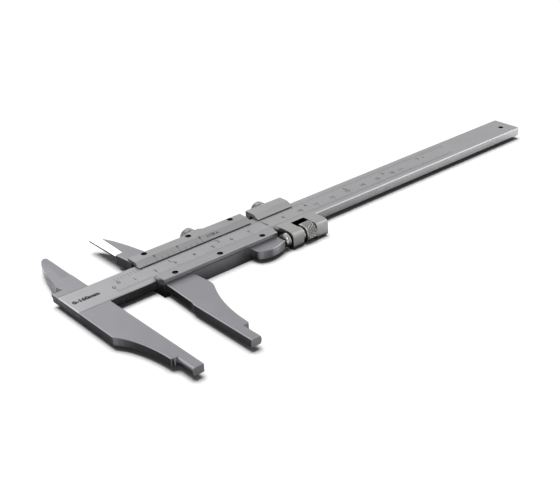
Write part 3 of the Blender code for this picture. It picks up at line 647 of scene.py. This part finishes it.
def add_text(bm, words, size, matrix, weight=0.0):
    """Adds raised lettering, centred in the matrix's x-y plane, to a bmesh."""
    curve = bpy.data.curves.new("lettering", "FONT")
    curve.body = words
    curve.size = size
    curve.align_x = "CENTER"
    curve.align_y = "CENTER"
    curve.extrude = MARK_RISE
    curve.offset = weight
    curve.resolution_u = 4
    holder = new_object("lettering", curve)
    bpy.context.view_layer.update()
    evaluated = holder.evaluated_get(bpy.context.evaluated_depsgraph_get())
    mesh = evaluated.to_mesh()
    mesh.transform(matrix)
    bm.from_mesh(mesh)
    evaluated.to_mesh_clear()
    bpy.data.objects.remove(holder)
    bpy.data.curves.remove(curve)


def at(x, y, z):
    return Matrix.Translation((x, y, z))


def turned(stations, segments, axis, place, closed, cut_at):
    """A turned piece: rings of vertices along an axis, joined by triangles.

    Each station is (along, radius, relief), and cut_at gives the share of the relief that is cut
    off at one step of one ring. A closed piece is a tube; an open one ends in two flat caps.
    """
    bm = bmesh.new()
    turn = Matrix.Identity(3) if axis == "X" else Matrix.Rotation(math.radians(90), 3, "Z")
    rings = []
    for ring_index, (along, radius, relief) in enumerate(stations):
        ring = []
        for step in range(segments):
            angle = math.tau * step / segments
            reach = radius - relief * cut_at(ring_index, step, along)
            point = Vector((along, reach * math.cos(angle), reach * math.sin(angle)))
            ring.append(bm.verts.new(turn @ point + place))
        rings.append(ring)
    pairs = list(zip(rings, rings[1:]))
    if closed:
        pairs.append((rings[-1], rings[0]))
    else:
        bm.faces.new(rings[0])
        bm.faces.new(rings[-1])
    for low_index, (low, high) in enumerate(pairs):
        for step in range(segments):
            after = (step + 1) % segments
            if (step + low_index) % 2 == 0:
                bm.faces.new((low[step], low[after], high[after]))
                bm.faces.new((low[step], high[after], high[step]))
            else:
                bm.faces.new((low[step], low[after], high[step]))
                bm.faces.new((low[after], high[after], high[step]))
    return bm


# ---- scales ---------------------------------------------------------------------


def add_tick_row(bm, frame_at, steps, pitch, start_x, root, grow, lengths):
    """Ticks at a pitch along x, from a root towards larger y where grow is 1, smaller where -1."""
    for step in range(steps + 1):
        reach = next(length for count, length in lengths if step % count == 0)
        spot = frame_at(start_x + step * pitch) @ at(0, root + grow * reach / 2, 0)
        add_block(bm, spot, (TICK_WIDTH, reach, 2 * MARK_RISE))


def beam_face_at(x):
    return at(x, BEAM_MID_Y, BEAM_FACE_Z)


def build_beam_marks():
    ticks = bmesh.new()
    add_tick_row(
        ticks, beam_face_at, SIXTEENTHS, INCH / 16, INCH_ZERO_X, INCH_TICK_ROOT, -1, INCH_TICKS
    )
    add_tick_row(
        ticks, beam_face_at, MILLIMETRES, MM, METRIC_ZERO_X, METRIC_TICK_ROOT, 1, METRIC_TICKS
    )
    finish_piece("beam_scale_lines", ticks, INK, "beam")

    numbers = bmesh.new()
    inch_row = at(0, INCH_NUMBER_Y, 0)
    metric_row = at(0, METRIC_NUMBER_Y, 0)
    for inch in range(LAST_INCH + 1):
        place = beam_face_at(INCH_ZERO_X + inch * INCH) @ inch_row
        add_text(numbers, str(inch), NUMBER_SIZE, place, NUMBER_WEIGHT)
    for centimetre in range(LAST_CENTIMETRE + 1):
        place = beam_face_at(METRIC_ZERO_X + centimetre * 10 * MM) @ metric_row
        add_text(numbers, str(centimetre), NUMBER_SIZE, place, NUMBER_WEIGHT)
    add_text(numbers, "mm", UNIT_SIZE, beam_face_at(METRIC_UNIT_X) @ metric_row)
    add_text(numbers, "in", UNIT_SIZE, beam_face_at(INCH_UNIT_X) @ inch_row)
    finish_piece("beam_scale_numbers", numbers, INK, "beam")

    label = bmesh.new()
    place = at(LABEL_X, LABEL_Y, BEAM_FACE_Z)
    add_text(label, "0-160mm", LABEL_SIZE, place, LABEL_WEIGHT)
    finish_piece("range_label", label, BLACK_INK, "beam")


def bevel_at(x, lip_y, run, facing):
    """A frame on a vernier bevel: origin on the lip's edge, y up the page, z out of the face."""
    up_page = Vector((0, run, facing * BEVEL_DROP)).normalized()
    along = Vector((1, 0, 0))
    out = along.cross(up_page)
    spot = Matrix((along, up_page, out)).transposed().to_4x4()
    spot.translation = (x, lip_y, PLATE_TOP_Z - BEVEL_DROP)
    return spot


def upper_bevel_at(x):
    return bevel_at(x, UPPER_LOW.y, UPPER_BEVEL_RUN, 1)


def lower_bevel_at(x):
    return bevel_at(x, LOWER_HIGH.y, LOWER_BEVEL_RUN, -1)


def add_vernier_words(bm, frame_at, zero_x, numbers, number_style, unit, unit_style):
    """The numbers, as (distance from the zero, text), and the unit of a vernier."""
    for distance, words in numbers:
        spot = frame_at(zero_x + distance) @ at(0, number_style["y"], 0)
        add_text(bm, words, number_style["size"], spot, number_style["weight"])
    spot = frame_at(zero_x + unit_style["x"]) @ at(0, unit_style["y"], 0)
    add_text(bm, unit, unit_style["size"], spot, unit_style["weight"])


def build_inch_vernier_marks():
    ticks = bmesh.new()
    zero_x = INCH_ZERO_X + OPENING
    add_tick_row(
        ticks, upper_bevel_at, INCH_VERNIER_DIVISIONS, INCH_VERNIER_PITCH, zero_x,
        LIP_MARGIN, 1, INCH_VERNIER_TICKS,
    )
    finish_piece("inch_vernier_lines", ticks, INK, "slider")
    words = bmesh.new()
    divisions = range(0, INCH_VERNIER_DIVISIONS + 1, 4)
    numbers = [(division * INCH_VERNIER_PITCH, str(division)) for division in divisions]
    add_vernier_words(
        words, upper_bevel_at, zero_x, numbers,
        INCH_VERNIER_NUMBER, "1/128 in", INCH_VERNIER_UNIT,
    )
    finish_piece("inch_vernier_numbers", words, BLACK_INK, "slider")


def build_metric_vernier_marks():
    ticks = bmesh.new()
    zero_x = METRIC_ZERO_X + OPENING
    add_tick_row(
        ticks, lower_bevel_at, METRIC_VERNIER_DIVISIONS, METRIC_VERNIER_PITCH, zero_x,
        -LIP_MARGIN, -1, METRIC_VERNIER_TICKS,
    )
    finish_piece("metric_vernier_lines", ticks, INK, "slider")
    words = bmesh.new()
    divisions = range(0, METRIC_VERNIER_DIVISIONS + 1, 4)
    numbers = [(division * METRIC_VERNIER_PITCH, str(division // 2)) for division in divisions]
    add_vernier_words(
        words, lower_bevel_at, zero_x, numbers,
        METRIC_VERNIER_NUMBER, "0.05 mm", METRIC_VERNIER_UNIT,
    )
    finish_piece("metric_vernier_numbers", words, INK, "slider")


build_beam_marks()
build_inch_vernier_marks()
build_metric_vernier_marks()

# ---- knurled, threaded and turned pieces ----------------------------------------


def axis_place(node, axis):
    """Where the node's axis runs, and the along-axis limits and outer radius of its box."""
    low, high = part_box(node)
    middle = (low + high) / 2
    if axis == "X":
        return Vector((0, middle.y, middle.z)), low.x, high.x, (high.z - low.z) / 2
    return Vector((middle.x, 0, middle.z)), low.y, high.y, (high.z - low.z) / 2


def eased_edge(start, radius):
    """Stations that ease the edge where a turned step begins."""
    return [
        (start, radius - EDGE_BEVEL, 0),
        (start + EDGE_SOFTENING, radius - EDGE_SOFTENING, 0),
        (start + EDGE_BEVEL, radius, 0),
    ]


def plain(ring_index, step, along):
    return 0.0


def flutes(ring_index, step, along):
    return float(step % 2)


def diamonds(ring_index, step, along):
    return float((ring_index + step) % 2)


def helix(ring_index, step, along):
    phase = (along / THREAD_PITCH - step / THREAD_SEGMENTS) % 1.0
    return abs(2 * phase - 1)


def build_adjusting_nut():
    """The nut: a thin bright collar, a neck, a bright band, and a body knurled in diamonds."""
    place, start, end, radius = axis_place("adjusting_nut", "X")
    end += NUT_EXTRA_LENGTH
    collar_end = start + NUT_COLLAR_LENGTH
    body_start = start + NUT_BODY_START
    band_end = body_start + NUT_BAND_LENGTH
    knurl_start = band_end + NUT_BAND_GROOVE
    knurl_length = end - NUT_PLAIN_END - knurl_start
    rings = 2 * round(knurl_length / NUT_DIAMOND_LENGTH)
    knurl_step = knurl_length / rings
    collar = radius - NUT_COLLAR_INSET
    neck = radius - NUT_NECK_INSET
    root = radius - NUT_KNURL_DEPTH
    stations = [
        (start, BORE_RADIUS, 0),
        *eased_edge(start, collar),
        (collar_end, collar, 0),
        (collar_end, neck, 0),
        (body_start, neck, 0),
        *eased_edge(body_start, radius),
        (band_end, radius, 0),
        (band_end + EDGE_SOFTENING, root, 0),
        (knurl_start, root, 0),
    ]
    for ring in range(rings + 1):
        stations.append((knurl_start + ring * knurl_step, radius, NUT_KNURL_DEPTH))
    stations += [
        (end - 2 * EDGE_SOFTENING, radius - 0.6 * NUT_KNURL_DEPTH, 0),
        (end, radius - 1.1 * NUT_KNURL_DEPTH, 0),
        (end, BORE_RADIUS, 0),
    ]
    bm = turned(stations, 2 * NUT_TEETH, "X", place, True, diamonds)
    for face in bm.faces:
        if face.calc_center_median().x < body_start + EDGE_BEVEL:
            face.material_index = 1
    piece = finish_piece(
        "adjusting_nut_knurled", bm, KNURLED, "adjusting_nut", 22, BRIGHT
    )
    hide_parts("adjusting_nut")


def build_clamp_head(node, body):
    """A thumb screw: shank, neck, and a fluted head with eased edges and a shallow dish."""
    place, start, end, radius = axis_place(node, "Y")
    head_start = end - HEAD_LENGTH
    neck_start = head_start - NECK_LENGTH
    root = radius - HEAD_KNURL_DEPTH
    stations = [
        (start, SHANK_RADIUS * SHANK_TIP_SHARE, 0),
        (start + SHANK_TIP_LENGTH, SHANK_RADIUS, 0),
        (neck_start, SHANK_RADIUS, 0),
        (neck_start, NECK_RADIUS, 0),
        (head_start, NECK_RADIUS, 0),
        (head_start, root - EDGE_BEVEL, 0),
        (head_start + HEAD_ROOT_MARGIN, root, 0),
        (head_start + HEAD_KNURL_MARGIN, radius, HEAD_KNURL_DEPTH),
        (end - HEAD_KNURL_MARGIN, radius, HEAD_KNURL_DEPTH),
        (end - HEAD_ROOT_MARGIN, root, 0),
        (end - EDGE_SOFTENING, root - 2 * EDGE_SOFTENING, 0),
        (end, root - 5 * EDGE_SOFTENING, 0),
        (end, DISH_RADIUS, 0),
        (end - DISH_DEPTH, DISH_FLOOR_RADIUS, 0),
    ]
    bm = turned(stations, 2 * HEAD_TEETH, "Y", place, False, flutes)
    piece = finish_piece(f"{node}_knurled", bm, CLAMP_STEEL[node], body, 22)
    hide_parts(node)


def build_feed_screw():
    """The feed screw: a helical thread that runs out into a taper at both ends."""
    place, start, end, radius = axis_place("adjusting_screw", "X")
    steps = round((end - start) / (THREAD_PITCH / THREAD_RINGS_PER_TURN))
    stations = []
    for step in range(steps + 1):
        along = start + (end - start) * step / steps
        taper = max(0.0, THREAD_TAPER - min(along - start, end - along))
        stations.append((along, radius - taper, THREAD_DEPTH if taper == 0.0 else 0.0))
    bm = turned(stations, THREAD_SEGMENTS, "X", place, False, helix)
    piece = finish_piece(
        "adjusting_screw_threaded", bm, SCREW_STEEL, "slider", 80
    )
    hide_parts("adjusting_screw")


def build_lock_collar():
    """The lock collar: full width at both rims, and slimmer by the rim's height between them."""
    place, start, end, radius = axis_place("lock_nut", "X")
    stations = [(start, BORE_RADIUS, 0), (start, radius - COLLAR_RIM - EDGE_SOFTENING, 0)]
    for step in range(4, -1, -1):
        inset = COLLAR_RIM * (1 - math.sin(math.radians(22.5 * step)))
        stations.append((start + inset, radius - inset, 0))
    mirrored = [(start + end - along, reach, 0) for along, reach, _ in reversed(stations)]
    bm = turned(stations + mirrored, COLLAR_SEGMENTS, "X", place, True, plain)
    piece = finish_piece("lock_nut_collar", bm, BRIGHT, "slider", 50)
    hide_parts("lock_nut")


build_adjusting_nut()
build_clamp_head("slider_clamp_screw", "slider_clamp")
build_clamp_head("carriage_clamp_screw", "carriage_clamp")
build_feed_screw()
build_lock_collar()

# ---- the studio -----------------------------------------------------------------


def build_camera():
    data = bpy.data.cameras.new("view")
    data.lens = CAMERA_LENS
    data.sensor_width = SENSOR_WIDTH
    data.clip_start = CLIP_START
    data.clip_end = CLIP_END
    camera = new_object("view", data)
    camera.location = CAMERA_PLACE
    camera.rotation_euler = CAMERA_TURN
    bpy.context.scene.camera = camera


def mirrored_light(graph, direction):
    """How bright the studio looks to the metal: an even sky, the floor below it, and soft boxes."""
    aim = graph.axes(direction)
    to_right = graph.ramp(aim["X"], *OPEN_RIGHT_SPAN)
    to_front = graph.ramp(aim["Y"], *OPEN_FRONT_SPAN)
    open_side = graph.math("MAXIMUM", to_right, to_front)
    open_ground = graph.math("MULTIPLY", open_side, OPEN_GROUND_STRENGTH)
    ground = graph.math("ADD", open_ground, GROUND_STRENGTH)
    from_card = graph.math("ABSOLUTE", graph.math("SUBTRACT", aim["X"], CARD_X))
    ground = graph.math("MULTIPLY", ground, graph.ramp(from_card, *CARD_RAMP))
    ground = graph.math("ADD", ground, graph.ramp(aim["X"], *FAR_RIGHT_RAMP))
    level = graph.blend_values(graph.ramp(aim["Z"], *HORIZON_SPAN), ground, SKY_STRENGTH)
    for towards, full, gone, strength in SOFT_BOXES:
        lean = graph.vector_math("DOT_PRODUCT", direction, Vector(towards).normalized())
        rim, core = math.cos(math.radians(gone)), math.cos(math.radians(full))
        level = graph.math("ADD", level, graph.ramp(lean, rim, core, 0.0, strength))
    return level


def build_floor():
    """A matt white floor; the metal sees it as the studio's light, with painted shade near the
    object.
    """
    bm = bmesh.new()
    bmesh.ops.create_grid(bm, x_segments=1, y_segments=1, size=FLOOR_HALF_SIZE)
    mesh = bpy.data.meshes.new("floor")
    bm.to_mesh(mesh)
    bm.free()
    floor = new_object("floor", mesh)
    floor.location = (0, 0, FLOOR_Z - FLOOR_DROP)
    material, graph, shader = new_material("pale_floor")
    shader.inputs["Base Color"].default_value = FLOOR_COLOUR
    shader.inputs["Roughness"].default_value = 1.0
    shader.inputs["Specular IOR Level"].default_value = 0.0

    spot = graph.node("ShaderNodeNewGeometry")
    looking = graph.vector_math("MULTIPLY", spot.outputs["Incoming"], (-1.0, -1.0, -1.0))
    light = mirrored_light(graph, looking)
    # Painted shade in the mirrored floor: darker where the occlusion finds the object, and darkest
    # towards the jaws' corner.
    shaded = graph.node("ShaderNodeAmbientOcclusion", samples=4, Distance=FLOOR_SHADE_REACH)
    object_shade = graph.ramp(shaded.outputs["AO"], *FLOOR_SHADE_RAMP)
    from_corner = graph.vector_math("DISTANCE", spot.outputs["Position"], JAW_CORNER)
    corner_shade = graph.ramp(from_corner, *JAW_CORNER_SHADE_RAMP)
    painted_floor_shade = graph.math("MULTIPLY", object_shade, corner_shade)
    seen = graph.node("ShaderNodeEmission")
    graph.link(graph.math("MULTIPLY", light, painted_floor_shade), seen.inputs["Strength"])

    chooser = graph.node("ShaderNodeMixShader")
    graph.link(graph.node("ShaderNodeLightPath").outputs["Is Glossy Ray"], chooser.inputs[0])
    graph.link(shader.outputs[0], chooser.inputs[1])
    graph.link(seen.outputs[0], chooser.inputs[2])
    output = material.node_tree.nodes["Material Output"]
    graph.link(chooser.outputs[0], output.inputs["Surface"])
    mesh.materials.append(material)


def build_key_light():
    """A broad light from nearly overhead; it makes the soft shadows on the floor."""
    data = bpy.data.lights.new("key", "SUN")
    data.energy = KEY_STRENGTH
    data.angle = math.radians(KEY_SPREAD)
    key = new_object("key", data)
    key.rotation_euler = Vector(KEY_FROM).to_track_quat("Z", "Y").to_euler()
    key.visible_glossy = False


def build_world():
    """White for the camera, a weak fill for the floor, and the mirrored studio for the metal."""
    world = bpy.data.worlds.new("studio")
    world.use_nodes = True
    graph = Graph(world.node_tree)
    path = graph.node("ShaderNodeLightPath").outputs
    mirrored = mirrored_light(graph, graph.node("ShaderNodeTexCoord").outputs["Generated"])
    backdrop = graph.blend_values(path["Is Camera Ray"], FILL_STRENGTH, BACKDROP_STRENGTH)
    level = graph.blend_values(path["Is Glossy Ray"], backdrop, mirrored)
    background = world.node_tree.nodes["Background"]
    graph.link(level, background.inputs["Strength"])
    background.inputs["Color"].default_value = (1.0, 1.0, 1.0, 1)
    bpy.context.scene.world = world


build_camera()
build_floor()
build_key_light()
build_world()
bpy.context.scene.view_settings.view_transform = "Standard"
